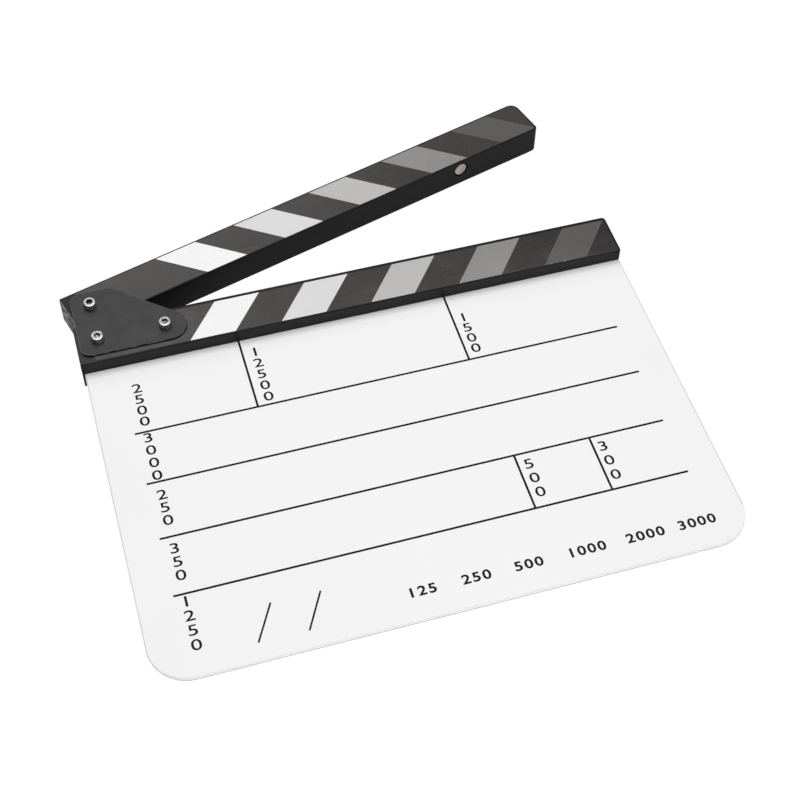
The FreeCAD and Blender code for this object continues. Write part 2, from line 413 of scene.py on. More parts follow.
# Sticks
# Two planed hardwood bars, edges eased, sprayed semi-gloss black so that the grain just shows through.
# The lower one is slotted for the slate. The upper one's heel was sawn after painting and is bare wood.
hinge = frame["joints"][0]
pivot = Vector(hinge["pos_m"])
open_angle = math.radians(15.8)
stick_rounding = 0.0009
less_rounded = 0.35
rounded_reach = 0.005
lower_tip_radii = (0.0011, 0.0018)
upper_tip_radii = (0.002, 0.0045)
slot_reach = 0.0081
slot_width = 0.0021
pocket_x = 0.0766
pocket_z = 0.0017
pocket_radius = 0.0038
pocket_depth = 0.0032
pivot_bore = 0.00155
clamp_bore = 0.0016
rub_width = 0.0005
rub_share = 0.3
hinge_sheen_from = -0.085
hinge_sheen_by = -0.105
lower_sheen_share = 1.0
upper_sheen_share = 0.5
chip_small = 0.00003
chip_large = 0.0004
lip_from = 0.0013
lip_by = 0.0004
lip_share = 0.7
paint_black = (0.0055, 0.0054, 0.0054, 1)
paint_worn = (0.05, 0.042, 0.036, 1)
paint_painted_sheen = (0.03, 0.029, 0.0295, 1)
paint_roughness = 0.26
paint_specular = 0.22
grain_stretch = (9, 320, 320)
pore_stretch = (60, 1500, 1500)
wood_sawn = (0.15, 0.133, 0.122, 1)
wood_sawn_dark = (0.028, 0.024, 0.022, 1)
wood_torn = (0.36, 0.34, 0.32, 1)
torn_stretch = (200, 350, 900)
heel_reach = 0.09142
heel_setback = 0.003728
heel_start = -0.1145
heel_height = 0.0095
heel_slope = Vector((-0.7071, -0.7071, 0))
lower_low, lower_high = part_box("lower_stick")
lower_centre = (lower_low + lower_high) / 2
lower_half = (lower_high - lower_low) / 2
upper_centre = Vector((-0.00195, 0.1906, 0))
upper_half = Vector((0.12405, 0.0106, 0.0074))
upper_low = upper_centre - upper_half
upper_high = upper_centre + upper_half


def tipped_bar(low, high, foot_radius, top_radius):
    """Bar between two corners with the corners of its free end rounded, left in edit mode."""
    bar = block(low, high)
    for height, radius in ((low.y, foot_radius), (high.y, top_radius)):
        corner = Vector((high.x, height))
        pick("EDGE", lambda edge: all((vert.co.xy - corner).length < touching for vert in edge.verts))
        bpy.ops.mesh.bevel(offset=radius, segments=10, affect="EDGES")
    return bar


def saw_heel():
    """Saws the heel of the edited bar off at a slope and rounds it below the pivot."""
    bpy.ops.mesh.select_all(action="SELECT")
    cut = upper_centre + heel_slope * heel_reach
    bpy.ops.mesh.bisect(plane_co=cut, plane_no=heel_slope, use_fill=True, clear_outer=True)
    pick("EDGE", lambda edge: all(
        vert.co.x < pivot.x and vert.co.y < upper_low.y + touching for vert in edge.verts
    ))
    bpy.ops.mesh.bevel(offset=heel_setback, segments=16, affect="EDGES")


def ease_edges(high):
    """Rounds the edges of the edited bar's front and back, most along its top and its free end."""
    bar = bpy.context.object
    edited = bmesh.from_edit_mesh(bar.data)
    weight = edited.edges.layers.float.new("bevel_weight_edge")
    for edge in edited.edges:
        start, end = edge.verts[0].co, edge.verts[1].co
        if abs(start.z - end.z) < touching:
            middle = (start + end) / 2
            exposed = middle.y > high.y - rounded_reach or middle.x > high.x - rounded_reach
            edge[weight] = 1.0 if exposed else less_rounded
    bmesh.update_edit_mesh(bar.data)
    bpy.ops.object.mode_set(mode="OBJECT")
    easing = bar.modifiers.new("eased_edges", "BEVEL")
    easing.limit_method = "WEIGHT"
    easing.width = stick_rounding
    easing.segments = 4
    bpy.ops.object.modifier_apply(modifier=easing.name)


def turned(steps, sides):
    """Solid turned about an upright axis from (radius, height) steps."""
    radius, height = steps[0]
    bpy.ops.object.select_all(action="DESELECT")
    bpy.ops.mesh.primitive_circle_add(
        vertices=sides, radius=radius, fill_type="NGON", location=(0, 0, height),
    )
    bpy.ops.object.transform_apply()
    bpy.ops.object.mode_set(mode="EDIT")
    bpy.ops.mesh.select_all(action="SELECT")
    for next_radius, next_height in steps[1:]:
        bpy.ops.mesh.extrude_region_move(TRANSFORM_OT_translate={"value": (0, 0, next_height - height)})
        share = next_radius / radius
        bpy.ops.transform.resize(value=(share, share, 1), center_override=(0, 0, next_height))
        radius, height = next_radius, next_height
    bpy.ops.mesh.select_all(action="SELECT")
    bpy.ops.mesh.normals_make_consistent(inside=False)
    bpy.ops.object.mode_set(mode="OBJECT")
    return bpy.context.object


def take(piece):
    """Makes a piece the active one and the only one selected."""
    bpy.ops.object.select_all(action="DESELECT")
    bpy.context.view_layer.objects.active = piece
    piece.select_set(True)


def combine(piece, tool, operation):
    """Cuts, joins or trims a piece with a tool, which is used up."""
    take(piece)
    step = piece.modifiers.new("combine", "BOOLEAN")
    step.operation = operation
    step.solver = "EXACT"
    step.object = tool
    bpy.ops.object.modifier_apply(modifier=step.name)
    bpy.data.objects.remove(tool)


def drill(piece, place, radius, depth, along_y=False):
    """Drills a round hole into a piece, to a depth both ways from a place."""
    bit = turned([(radius, -depth), (radius, depth)], sides=64)
    bit.rotation_euler = (math.radians(90) if along_y else 0, 0, 0)
    bit.location = place
    bpy.ops.object.transform_apply()
    combine(piece, bit, "DIFFERENCE")


def screw_axis(name):
    """Point on the axis of a screw, at half the board's thickness."""
    low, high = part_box(name + "_screw")
    return Vector(((low.x + high.x) / 2, (low.y + high.y) / 2, 0))


def swing_open(piece):
    """Turns a piece that was modelled closed about the pivot, to where the board stands open."""
    take(piece)
    piece.rotation_euler = (0, 0, open_angle)
    piece.location = pivot - Matrix.Rotation(open_angle, 3, "Z") @ pivot
    bpy.ops.object.transform_apply()


lower_bar = tipped_bar(lower_low, lower_high, *lower_tip_radii)
ease_edges(lower_high)
bpy.ops.object.select_all(action="DESELECT")
bpy.ops.mesh.primitive_cube_add(
    size=1, location=(0, lower_low.y, 0), scale=(1, 2 * slot_reach, slot_width),
)
bpy.ops.object.transform_apply()
combine(lower_bar, bpy.context.object, "DIFFERENCE")
drill(lower_bar, (pocket_x, lower_high.y, pocket_z), pocket_radius, pocket_depth, along_y=True)
for name in ("left_clamp", "right_clamp"):
    drill(lower_bar, screw_axis(name), clamp_bore, 2 * lower_half.z)
bpy.ops.object.mode_set(mode="EDIT")
finish_mesh(smooth_angle=35)
lower_bar.name = "lower_bar"

upper_bar = tipped_bar(upper_low, upper_high, *upper_tip_radii)
saw_heel()
ease_edges(upper_high)
drill(upper_bar, (pocket_x, upper_low.y, pocket_z), pocket_radius, pocket_depth, along_y=True)
drill(upper_bar, pivot, pivot_bore, 2 * upper_half.z)
bpy.ops.object.mode_set(mode="EDIT")
finish_mesh(smooth_angle=35)
upper_bar.name = "upper_bar"
swing_open(upper_bar)


def edge_rub():
    """Effect of wear: rubbed patches along the edges of a bar of a given half size."""
    group, given, result = new_effect(
        "edge_rub",
        [
            ("Place", "NodeSocketVector", (0, 0, 0)),
            ("Half Size", "NodeSocketVector", (1, 1, 1)),
            ("Width", "NodeSocketFloat", 0.001),
        ],
        ["Rub"],
    )
    outward = node(group, "ShaderNodeVectorMath", (0, given["Place"]), operation="ABSOLUTE").outputs[0]
    plugs = (0, given["Half Size"]), (1, outward)
    inset = node(group, "ShaderNodeVectorMath", *plugs, operation="SUBTRACT").outputs[0]
    depth = apart(group, inset)
    pairs = [calc(group, "MAXIMUM", depth[a], depth[b]) for a, b in ((0, 1), (1, 2), (0, 2))]
    nearest = calc(group, "MINIMUM", calc(group, "MINIMUM", pairs[0], pairs[1]), pairs[2])
    near = calc(group, "SUBTRACT", 1.0, calc(group, "DIVIDE", nearest, given["Width"]))
    patches = noise(group, given["Place"], 90.0, 5.0, 0.7)
    rub = fade(group, calc(group, "ADD", near, patches), 1.3, 1.6)
    group.links.new(rub, result["Rub"])
    return group


rubbed = edge_rub()


def in_own_frame(tree, where, turn, centre):
    """Place on a piece that is turned about the pivot, measured from its own centre when closed."""
    back = Matrix.Rotation(-turn, 3, "Z")
    shift = back @ -pivot + pivot - centre
    plugs = ("Vector", where.outputs["Object"]), ("Location", shift), ("Rotation", (0, 0, -turn))
    return node(tree, "ShaderNodeMapping", *plugs).outputs["Vector"]


def sawn_end(tree, place, upright, half):
    """Raw end and heel of a stick: where they show, their colour and their torn grain."""
    spot = apart(tree, place)
    on_heel = calc(tree, "LESS_THAN", spot["X"], heel_start)
    on_heel = calc(tree, "MULTIPLY", on_heel, calc(tree, "LESS_THAN", upright, 0.5))
    on_heel = calc(tree, "MULTIPLY", on_heel, calc(tree, "LESS_THAN", spot["Y"], heel_height))
    from_end = calc(tree, "ADD", spot["X"], half.x)
    heelward = node(tree, "ShaderNodeVectorMath", (0, place), (1, heel_slope), operation="DOT_PRODUCT")
    from_heel = calc(tree, "SUBTRACT", heel_reach, heelward.outputs["Value"])
    chips = fade(tree, noise(tree, place, 500.0, 3.0), 0.5, 0.75, chip_small, chip_large)
    near_cut = calc(tree, "LESS_THAN", calc(tree, "MINIMUM", from_end, from_heel), chips)
    shows = calc(tree, "MAXIMUM", on_heel, near_cut)
    torn = noise(tree, stretched(tree, place, torn_stretch), 1.0, 4.0, 0.7)
    patches = fade(tree, noise(tree, place, 260.0, 3.0), 0.54, 0.64, 0.0, 0.6)
    lip = fade(tree, calc(tree, "SUBTRACT", half.z, spot["Z"]), lip_from, lip_by, 0.0, lip_share)
    colour = blend_colour(tree, fade(tree, torn, 0.43, 0.57), wood_sawn_dark, wood_sawn)
    return shows, blend_colour(tree, calc(tree, "MAXIMUM", patches, lip), colour, wood_torn), torn


def painted_wood(name, turn, centre, half, sheen_share, raw_end):
    """Material of a stick: black paint over the grain, rubbed at the edges, with a painted sheen on its
    front by the hinge.
    """
    finish, tree, shader, where = new_finish(name)
    place = in_own_frame(tree, where, turn, centre)
    grain = noise(tree, stretched(tree, place, grain_stretch), 1.0, 4.0, 0.6)
    pores = fade(tree, noise(tree, stretched(tree, place, pore_stretch), 1.0, 2.0), 0.62, 0.72)
    peel = noise(tree, place, 1300.0, 2.0)
    plugs = ("Place", place), ("Half Size", half), ("Width", rub_width)
    wear = node(tree, "ShaderNodeGroup", *plugs, node_tree=rubbed).outputs["Rub"]
    colour = blend_colour(tree, calc(tree, "MULTIPLY", wear, rub_share), paint_black, paint_worn)
    facing = apart(tree, where.outputs["Normal"])["Z"]
    # Painted sheen: the front face is tinted grey towards the hinge end, as the light it reflects there,
    # by a share given for each stick.
    on_front = fade(tree, facing, 0.8, 0.95, 0.0, sheen_share)
    painted_hinge_sheen = fade(tree, apart(tree, place)["X"], hinge_sheen_from, hinge_sheen_by)
    colour = blend_colour(tree, calc(tree, "MULTIPLY", painted_hinge_sheen, on_front), colour, paint_painted_sheen)
    gloss_changes = [(grain, 0.14)]
    relief = calc(tree, "MULTIPLY_ADD", grain, 0.8, calc(tree, "MULTIPLY", peel, 0.25))
    relief = calc(tree, "SUBTRACT", relief, calc(tree, "MULTIPLY", pores, 0.25))
    if raw_end:
        shows, raw_colour, torn = sawn_end(tree, place, facing, half)
        colour = blend_colour(tree, shows, colour, raw_colour)
        gloss_changes.append((shows, 0.4))
        relief = calc(tree, "MULTIPLY_ADD", calc(tree, "MULTIPLY", torn, shows), 2.5, relief)
    tree.links.new(colour, shader.inputs["Base Color"])
    set_gloss(tree, shader, paint_roughness, *gloss_changes)
    shader.inputs["Specular IOR Level"].default_value = paint_specular
    roughen(tree, shader, relief, 0.12, 0.0004)
    return finish


lower_bar.data.materials.append(painted_wood(
    "painted_lower_bar", 0.0, lower_centre, lower_half, lower_sheen_share, raw_end=False,
))
upper_bar.data.materials.append(painted_wood(
    "painted_upper_bar", open_angle, upper_centre, upper_half, upper_sheen_share, raw_end=True,
))
for bar, body, stick in ((lower_bar, "slate", "lower_stick"), (upper_bar, "clapper", "upper_stick")):
    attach(bar, body)
    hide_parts(stick)

# Stripe films
# Printed vinyl stuck on the front of each stick: charcoal, with five slanted stripes from white to grey.
# They slant opposite ways and meet in chevrons when the sticks close. The cut edges show pale vinyl.
charcoal = (0.026, 0.0212, 0.0195, 1)
charcoal_painted_sheen = (0.046, 0.0405, 0.0375, 1)
lower_far_painted_shade = (0.012, 0.0092, 0.0088, 1)
upper_far_painted_sheen = (0.031, 0.0257, 0.0238, 1)
vinyl_core = (0.13, 0.128, 0.125, 1)
vinyl_nicked = (0.42, 0.42, 0.41, 1)
film_smudge = 0.02
film_roughness = 0.22
film_specular = 0.7
film_thickness = 0.0002
film_start = 0.0069
film_end = 0.0013
lower_film_margins = (0.0003, 0.0022)
upper_film_margins = (0.0005, 0.0013)
lower_film_radii = (0.0004, 0.0008)
lower_film_lift = 0.0005
upper_film_radii = (0.0014, 0.0037)
film_sheen_from = -0.015
film_sheen_by = -0.085
far_light_from = 0.06
far_light_by = 0.11
stripe_greys = [
    (0.885, 0.885, 0.883, 1),
    (0.692, 0.682, 0.688, 1),
    (0.475, 0.47, 0.462, 1),
    (0.248, 0.244, 0.237, 1),
    (0.086, 0.0795, 0.077, 1),
]
lower_print = Vector((0, 0.168, 0))
lower_stripes = {"First": -0.0695, "Pitch": 0.041375, "Width": 0.0204, "Lean": 0.78}
upper_stripes = {"First": -0.06837, "Pitch": 0.04056, "Width": 0.02033, "Lean": -0.86}
lower_nicks = ((0.0911, -0.0104, 0.0005), (0.0977, -0.0104, 0.0007), (0.1037, -0.0103, 0.0004))
upper_nicks = ((0.1231, -0.0093, 0.0007),)
nick_height = 0.0076
nick_softness = 0.0003
nick_raggedness = 0.0007


def stripe_run():
    """Effect of the print: a run of slanted stripes and the step, from 0 to 1, that each stands for."""
    group, given, result = new_effect(
        "stripe_run",
        [
            ("Place", "NodeSocketVector", (0, 0, 0)),
            ("First", "NodeSocketFloat", 0.0),
            ("Pitch", "NodeSocketFloat", 0.04),
            ("Width", "NodeSocketFloat", 0.02),
            ("Lean", "NodeSocketFloat", 0.8),
        ],
        ["Stripe", "Step"],
    )
    spot = apart(group, given["Place"])
    straight = calc(group, "SUBTRACT", spot["X"], calc(group, "MULTIPLY", spot["Y"], given["Lean"]))
    run = calc(group, "SUBTRACT", straight, given["First"])
    count = calc(group, "FLOOR", calc(group, "DIVIDE", run, given["Pitch"]))
    into = calc(group, "SUBTRACT", run, calc(group, "MULTIPLY", count, given["Pitch"]))
    light = calc(group, "LESS_THAN", into, given["Width"])
    after_first = calc(group, "GREATER_THAN", run, 0.0)
    group.links.new(calc(group, "MULTIPLY", light, after_first), result["Stripe"])
    step = calc(group, "DIVIDE", calc(group, "ADD", count, 0.5), len(stripe_greys))
    group.links.new(step, result["Step"])
    return group


striping = stripe_run()


def stripe_film(name, turn, centre, stripes, far_painted_light, nicks):
    """Material of a film: satin print with its stripes, painted sheen and shade along it, faint handling
    marks and a pale cut edge.
    """
    finish, tree, shader, where = new_finish(name)
    place = in_own_frame(tree, where, turn, centre)
    plugs = ("Place", place), *stripes.items()
    pattern = node(tree, "ShaderNodeGroup", *plugs, node_tree=striping)
    steps = node(tree, "ShaderNodeValToRGB", ("Fac", pattern.outputs["Step"]))
    steps.color_ramp.interpolation = "CONSTANT"
    for number, grey in enumerate(stripe_greys):
        if number < 2:
            stop = steps.color_ramp.elements[number]
            stop.position = number / len(stripe_greys)
        else:
            stop = steps.color_ramp.elements.new(number / len(stripe_greys))
        stop.color = grey
    along = apart(tree, place)["X"]
    # Painted light: the charcoal is made lighter towards the hinge end as a painted sheen, and at the
    # far end darker as painted shade on the lower film and lighter as painted sheen on the upper one.
    charcoal_with_painted_light = blend_colour(tree, fade(tree, along, film_sheen_from, film_sheen_by), charcoal, charcoal_painted_sheen)
    charcoal_with_painted_light = blend_colour(tree, fade(tree, along, far_light_from, far_light_by), charcoal_with_painted_light, far_painted_light)
    printed_with_painted_light = blend_colour(tree, pattern.outputs["Stripe"], charcoal_with_painted_light, steps.outputs["Color"])
    smudge, scratch = marked(tree, where, film_smudge)
    mottle = fade(tree, noise(tree, place, 2200.0, 3.0), 0.3, 0.7, 0.94, 1.04)
    tinted = node(tree, "ShaderNodeVectorMath", (0, printed_with_painted_light), (1, mottle), operation="MULTIPLY")
    cut = calc(tree, "LESS_THAN", apart(tree, where.outputs["Normal"])["Z"], 0.5)
    nicked = cut
    ragged = calc(tree, "MULTIPLY", noise(tree, place, 1600.0, 3.0), nick_raggedness)
    for x, y, size in nicks:
        plugs = (0, place), (1, (x, y, nick_height))
        spot = node(tree, "ShaderNodeVectorMath", *plugs, operation="DISTANCE")
        away = calc(tree, "ADD", spot.outputs["Value"], ragged)
        nicked = calc(tree, "MAXIMUM", nicked, fade(tree, away, size + nick_softness, size))
    bare = blend_colour(tree, cut, vinyl_nicked, vinyl_core)
    tree.links.new(blend_colour(tree, nicked, tinted.outputs[0], bare), shader.inputs["Base Color"])
    set_gloss(tree, shader, film_roughness, (smudge, 0.05), (scratch, 0.06))
    shader.inputs["Specular IOR Level"].default_value = film_specular
    roughen(tree, shader, noise(tree, place, 1800.0, 2.0), 0.05, 0.0002)
    return finish


def cut_film(low, high, margins, radii):
    """Film on the front of the bar between two corners, left in edit mode."""
    foot_margin, top_margin = margins
    return tipped_bar(
        Vector((low.x + film_start, low.y + foot_margin, high.z)),
        Vector((high.x - film_end, high.y - top_margin, high.z + film_thickness)),
        *radii,
    )


lower_film = cut_film(lower_low, lower_high, lower_film_margins, lower_film_radii)
pick("VERT", lambda vert: vert.co.x < 0 and vert.co.y < lower_centre.y)
bpy.ops.transform.translate(value=(0, lower_film_lift, 0))
bpy.ops.object.mode_set(mode="OBJECT")
for name in ("left_clamp", "right_clamp"):
    drill(lower_film, screw_axis(name), clamp_bore, 2 * lower_half.z)
upper_film = cut_film(upper_low, upper_high, upper_film_margins, upper_film_radii)
bpy.ops.object.mode_set(mode="OBJECT")
drill(upper_film, pivot, clamp_bore, 2 * upper_half.z)
swing_open(upper_film)
lower_film.data.materials.append(stripe_film(
    "lower_print", 0.0, lower_print, lower_stripes, lower_far_painted_shade, lower_nicks,
))
upper_film.data.materials.append(stripe_film(
    "upper_print", open_angle, upper_centre, upper_stripes, upper_far_painted_sheen, upper_nicks,
))
for film, body, name in ((lower_film, "slate", "lower_stripe"), (upper_film, "clapper", "upper_stripe")):
    film.name = name + "_film"
    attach(film, body)
    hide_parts(name + "_label")

# Magnets
# Two nickel-plated discs, one let into each stick, that meet at the strike and hold the sticks shut.
# Each sits a little below the wood in a hole slightly wider than itself.
magnet_radius = 0.00325
magnet_depth = 0.003
magnet_rim = 0.0003
magnet_ring = 0.0007
ring_groove = 0.00008
groove_depth = 0.00003
nickel = (0.83, 0.725, 0.66, 1)
nickel_dull = (0.69, 0.59, 0.53, 1)
nickel_smudge = 0.004
nickel_roughness = 0.28


def magnet_disc(name, mouth, outward):
    """Disc with a rounded rim and a shallow turned ring, its face at a place and looking outward."""
    bpy.ops.object.select_all(action="DESELECT")
    bpy.ops.mesh.primitive_cylinder_add(
        vertices=64, radius=magnet_radius, depth=magnet_depth, location=(0, 0, -magnet_depth / 2),
    )
    bpy.ops.object.transform_apply()
    bpy.ops.object.mode_set(mode="EDIT")
    pick("EDGE", lambda edge: abs(edge.verts[0].co.z - edge.verts[1].co.z) < touching)
    bpy.ops.mesh.bevel(offset=magnet_rim, segments=4, affect="EDGES")
    pick("FACE", lambda face: face.normal.z > 0.99)
    bpy.ops.mesh.inset(thickness=magnet_ring, depth=0)
    bpy.ops.mesh.inset(thickness=ring_groove, depth=-groove_depth)
    disc = finish_mesh(smooth_angle=50)
    disc.name = name
    disc.rotation_euler = Vector(outward).to_track_quat("Z", "Y").to_euler()
    disc.location = mouth
    bpy.ops.object.transform_apply()
    return disc


finish, tree, shader, where = new_finish("plated_nickel")
smudge, scratch = marked(tree, where, nickel_smudge)
tree.links.new(blend_colour(tree, smudge, nickel, nickel_dull), shader.inputs["Base Color"])
shader.inputs["Metallic"].default_value = 1.0
set_gloss(tree, shader, nickel_roughness, (smudge, 0.15), (scratch, 0.15))
roughen(tree, shader, scratch, 0.05, 0.00005)
plated = finish
swing = Matrix.Rotation(open_angle, 3, "Z")
for name, body, outward in (
    ("lower_magnet", "slate", Vector((0, 1, 0))),
    ("upper_magnet", "clapper", swing @ Vector((0, -1, 0))),
):
    low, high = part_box(name)
    disc = magnet_disc(name + "_disc", (low + high) / 2 + outward * (magnet_depth / 2), outward)
    disc.data.materials.append(plated)
    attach(disc, body)
    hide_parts(name)

# Hinge plates
# Two sheet steel plates, sheared to shape with their outer rims broken, then powder coated dark grey.
# Three screws go through both and clamp the lower stick between them.
coat_grey = (0.0105, 0.0107, 0.0107, 1)
coat_tinted = (0.0195, 0.0183, 0.0215, 1)
coat_painted_shade = (0.004, 0.004, 0.004, 1)
coat_worn_and_highlight = (0.16, 0.16, 0.16, 1)
coat_smudge = 0.012
coat_roughness = 0.4

finish, tree, shader, where = new_finish("coated_plate")
place = where.outputs["Object"]
smudge, scratch = marked(tree, where, coat_smudge)
facing = apart(tree, where.outputs["Normal"])
upright = calc(tree, "ABSOLUTE", facing["Z"])
rim = calc(tree, "MULTIPLY", fade(tree, upright, 0.4, 0.6), fade(tree, upright, 0.95, 0.85))
# Painted highlight: the worn colour on the rims is laid on more readily where they face left, as the
# light along the plate's left edge; elsewhere it is wear.
painted_left_highlight = fade(tree, facing["X"], -0.4, -0.6, 0.4, 0.2)
scuffs_and_left_highlight = calc(tree, "SUBTRACT", noise(tree, place, 260.0, 4.0, 0.7), painted_left_highlight)
wear_and_painted_highlight = calc(tree, "MULTIPLY", rim, fade(tree, scuffs_and_left_highlight, 0.0, 0.25))
# Painted shade: the side faces and the rim facing the front are black, with no reflection, as the shade
# along the plate's foot and nose.
painted_low_rim_shade = calc(tree, "MULTIPLY", fade(tree, upright, 0.85, 0.6), fade(tree, facing["Y"], -0.1, -0.4))
painted_side_shade = calc(tree, "MAXIMUM", fade(tree, upright, 0.35, 0.15), painted_low_rim_shade)
tint = fade(tree, noise(tree, place, 170.0, 3.0), 0.35, 0.65)
coat = blend_colour(tree, painted_side_shade, blend_colour(tree, tint, coat_grey, coat_tinted), coat_painted_shade)
tree.links.new(blend_colour(tree, wear_and_painted_highlight, coat, coat_worn_and_highlight), shader.inputs["Base Color"])
tree.links.new(painted_side_shade, shader.inputs["Metallic"])
set_gloss(tree, shader, coat_roughness, (smudge, 0.08), (scratch, -0.06))
roughen(tree, shader, noise(tree, place, 2400.0, 3.0), 0.1, 0.0002)
for name in ("front_hinge_plate", "back_hinge_plate"):
    frame["nodes"][name].material_slots[0].material = finish

# Screws, washers and lock nuts
# Stainless M3 x 25 socket head cap screws: the top one is the pivot, the other two clamp the plates.
# Behind, each has a flat washer and a lock nut, whose rolled collar keeps a nylon ring on the thread.
shank_radius = 0.0015
plain_length = 0.0173
screw_length = 0.025
tip_chamfer = 0.0004
thread_pitch = 0.0005
thread_depth = 0.0003
tooth_height = 1.5
thread_turns = 18
thread_overlap = 0.0004
thread_steps = 24
thread_clearance = 1.01
head_radius = 0.00275
head_height = 0.003
head_foot = 0.0001
head_edge = 0.00045
knurl_teeth = 36
knurl_root = 0.97
knurl_reach = 0.9
socket_radius = 0.0025 / math.sqrt(3)
socket_depth = 0.0015
socket_point = 0.0005
socket_edge = 0.0002
socket_margin = 0.0003
socket_tip_share = 0.05
socket_floor_share = 0.85
drive_turns = (("pivot", 14), ("left_clamp", 41), ("right_clamp", 26))
washer_radius = 0.0035
washer_bore = 0.0016
washer_thickness = 0.0005
washer_edge = 0.00008
nut_corner = 0.0055 / math.sqrt(3)
nut_hex_height = 0.0027
nut_height = 0.004
nut_chamfer = 0.0003
collar_radius = 0.0027
collar_roll = 0.0004
lip_radius = 0.00215
lip_height = 0.00025
ring_radius = 0.0024
ring_seat = 0.00255
thread_bore = 0.00152
steel = (0.8, 0.79, 0.775, 1)
steel_dull = (0.62, 0.61, 0.595, 1)
steel_smudge = 0.003
steel_roughness = 0.17
# Colours of painted shade for the sockets and the knurled sides of the heads.
shaded_steel_grey = (0.1, 0.098, 0.095, 1)
socket_shade_black = (0.018, 0.017, 0.016, 1)
clamp_shade_light = (0.55, 0.53, 0.51, 1)
clamp_shade_dark = (0.06, 0.056, 0.052, 1)
shaded_steel_roughness = 0.5
shaded_steel_metallic = 0.8
nylon_white = (0.72, 0.71, 0.67, 1)
nylon_aged = (0.62, 0.6, 0.53, 1)
nylon_roughness = 0.38


def cut_thread():
    """Threaded end of a screw: one tooth wound up the shank, trimmed to a chamfered tip."""
    tooth_turn = Matrix(((0, 1, 0), (0, 0, 1), (1, 0, 0))).to_euler()
    tooth_reach = thread_depth / tooth_height
    bpy.ops.object.select_all(action="DESELECT")
    tooth_place = (shank_radius - tooth_reach, 0, -screw_length - thread_pitch)
    bpy.ops.mesh.primitive_circle_add(vertices=3, radius=1, location=tooth_place, rotation=tooth_turn)
    thread = bpy.context.object
    thread.scale = (thread_pitch / math.sqrt(3), tooth_reach, 1)
    bpy.ops.object.transform_apply()
    bpy.ops.object.mode_set(mode="EDIT")
    pick("EDGE", lambda edge: max(vert.co.x for vert in edge.verts) < shank_radius - thread_depth / 2)
    bpy.ops.mesh.delete(type="EDGE")
    bpy.ops.object.mode_set(mode="OBJECT")
    winding = thread.modifiers.new("winding", "SCREW")
    winding.axis = "Z"
    winding.screw_offset = thread_pitch
    winding.iterations = thread_turns
    winding.steps = thread_steps
    winding.render_steps = thread_steps
    bpy.ops.object.modifier_apply(modifier=winding.name)
    bpy.ops.object.mode_set(mode="EDIT")
    bpy.ops.mesh.select_all(action="SELECT")
    bpy.ops.mesh.remove_doubles(threshold=touching)
    bpy.ops.mesh.fill_holes(sides=0)
    bpy.ops.mesh.select_all(action="SELECT")
    bpy.ops.mesh.normals_make_consistent(inside=False)
    bpy.ops.object.mode_set(mode="OBJECT")
    outer = shank_radius * thread_clearance
    blank = turned([
        (shank_radius - tip_chamfer, -screw_length),
        (outer, -screw_length + tip_chamfer),
        (outer, -plain_length + thread_overlap),
    ], sides=48)
    combine(thread, blank, "INTERSECT")
    return thread


def cap_screw():
    """Socket head cap screw, with a knurled head, standing on its seat at the origin."""
    screw = turned([
        (shank_radius, -plain_length),
        (shank_radius, 0),
        (head_radius - head_foot, 0),
        (head_radius, head_foot),
        (head_radius, head_height),
    ], sides=2 * knurl_teeth)
    bpy.ops.object.mode_set(mode="EDIT")
    pick("EDGE", lambda edge: min(vert.co.z for vert in edge.verts) > head_height - touching)
    bpy.ops.mesh.bevel(offset=head_edge, segments=5, affect="EDGES")
    tooth_angle = math.pi / knurl_teeth

    def in_groove(edge):
        """Whether an edge is every second upright one on the side of the head."""
        foot, top = edge.verts[0].co, edge.verts[1].co
        count = round(math.atan2(foot.y, foot.x) / tooth_angle)
        return min(foot.z, top.z) > 0 and abs(foot.z - top.z) > head_height / 2 and count % 2 == 0

    pick("EDGE", in_groove)
    bpy.ops.transform.resize(value=(knurl_root, knurl_root, 1), center_override=(0, 0, 0))
    bpy.ops.object.mode_set(mode="OBJECT")
    socket_floor = head_height - socket_depth
    socket = turned([
        (socket_radius * socket_tip_share, socket_floor - socket_point),
        (socket_radius * socket_floor_share, socket_floor),
        (socket_radius, socket_floor),
        (socket_radius, 2 * head_height),
    ], sides=6)
    combine(screw, socket, "DIFFERENCE")
    combine(screw, cut_thread(), "UNION")
    for finish in (bright, knurl_shade, dark_socket_shade):
        screw.data.materials.append(finish)
    bpy.ops.object.mode_set(mode="EDIT")
    pick("EDGE", lambda edge: all(
        vert.co.z > head_height - touching and vert.co.xy.length < socket_radius + touching
        for vert in edge.verts
    ))
    bpy.ops.mesh.bevel(offset=socket_edge, segments=2, affect="EDGES")

    def on_knurl(face):
        """Whether a face is on the knurled side of the head."""
        reach = face.calc_center_median().xy.length
        return abs(face.normal.z) < 0.5 and reach > head_radius * knurl_reach

    def in_socket(face):
        """Whether a face lies in the socket."""
        reach = socket_radius + socket_margin
        return all(vert.co.z > 0 and vert.co.xy.length < reach for vert in face.verts)

    for finish_number, is_there in ((1, on_knurl), (2, in_socket)):
        pick("FACE", is_there)
        screw.active_material_index = finish_number
        bpy.ops.object.material_slot_assign()
    return finish_mesh(smooth_angle=35)


def flat_washer():
    """Stamped washer with its edges broken, its back face at the origin."""
    washer = turned([(washer_radius, 0), (washer_radius, washer_thickness)], sides=64)
    bpy.ops.object.mode_set(mode="EDIT")
    pick("EDGE", lambda edge: abs(edge.verts[0].co.z - edge.verts[1].co.z) < touching)
    bpy.ops.mesh.bevel(offset=washer_edge, segments=3, affect="EDGES")
    bpy.ops.object.mode_set(mode="OBJECT")
    hole = turned([(washer_bore, -washer_thickness), (washer_bore, 2 * washer_thickness)], sides=48)
    combine(washer, hole, "DIFFERENCE")
    washer.data.materials.append(bright)
    bpy.ops.object.mode_set(mode="EDIT")
    return finish_mesh(smooth_angle=35)


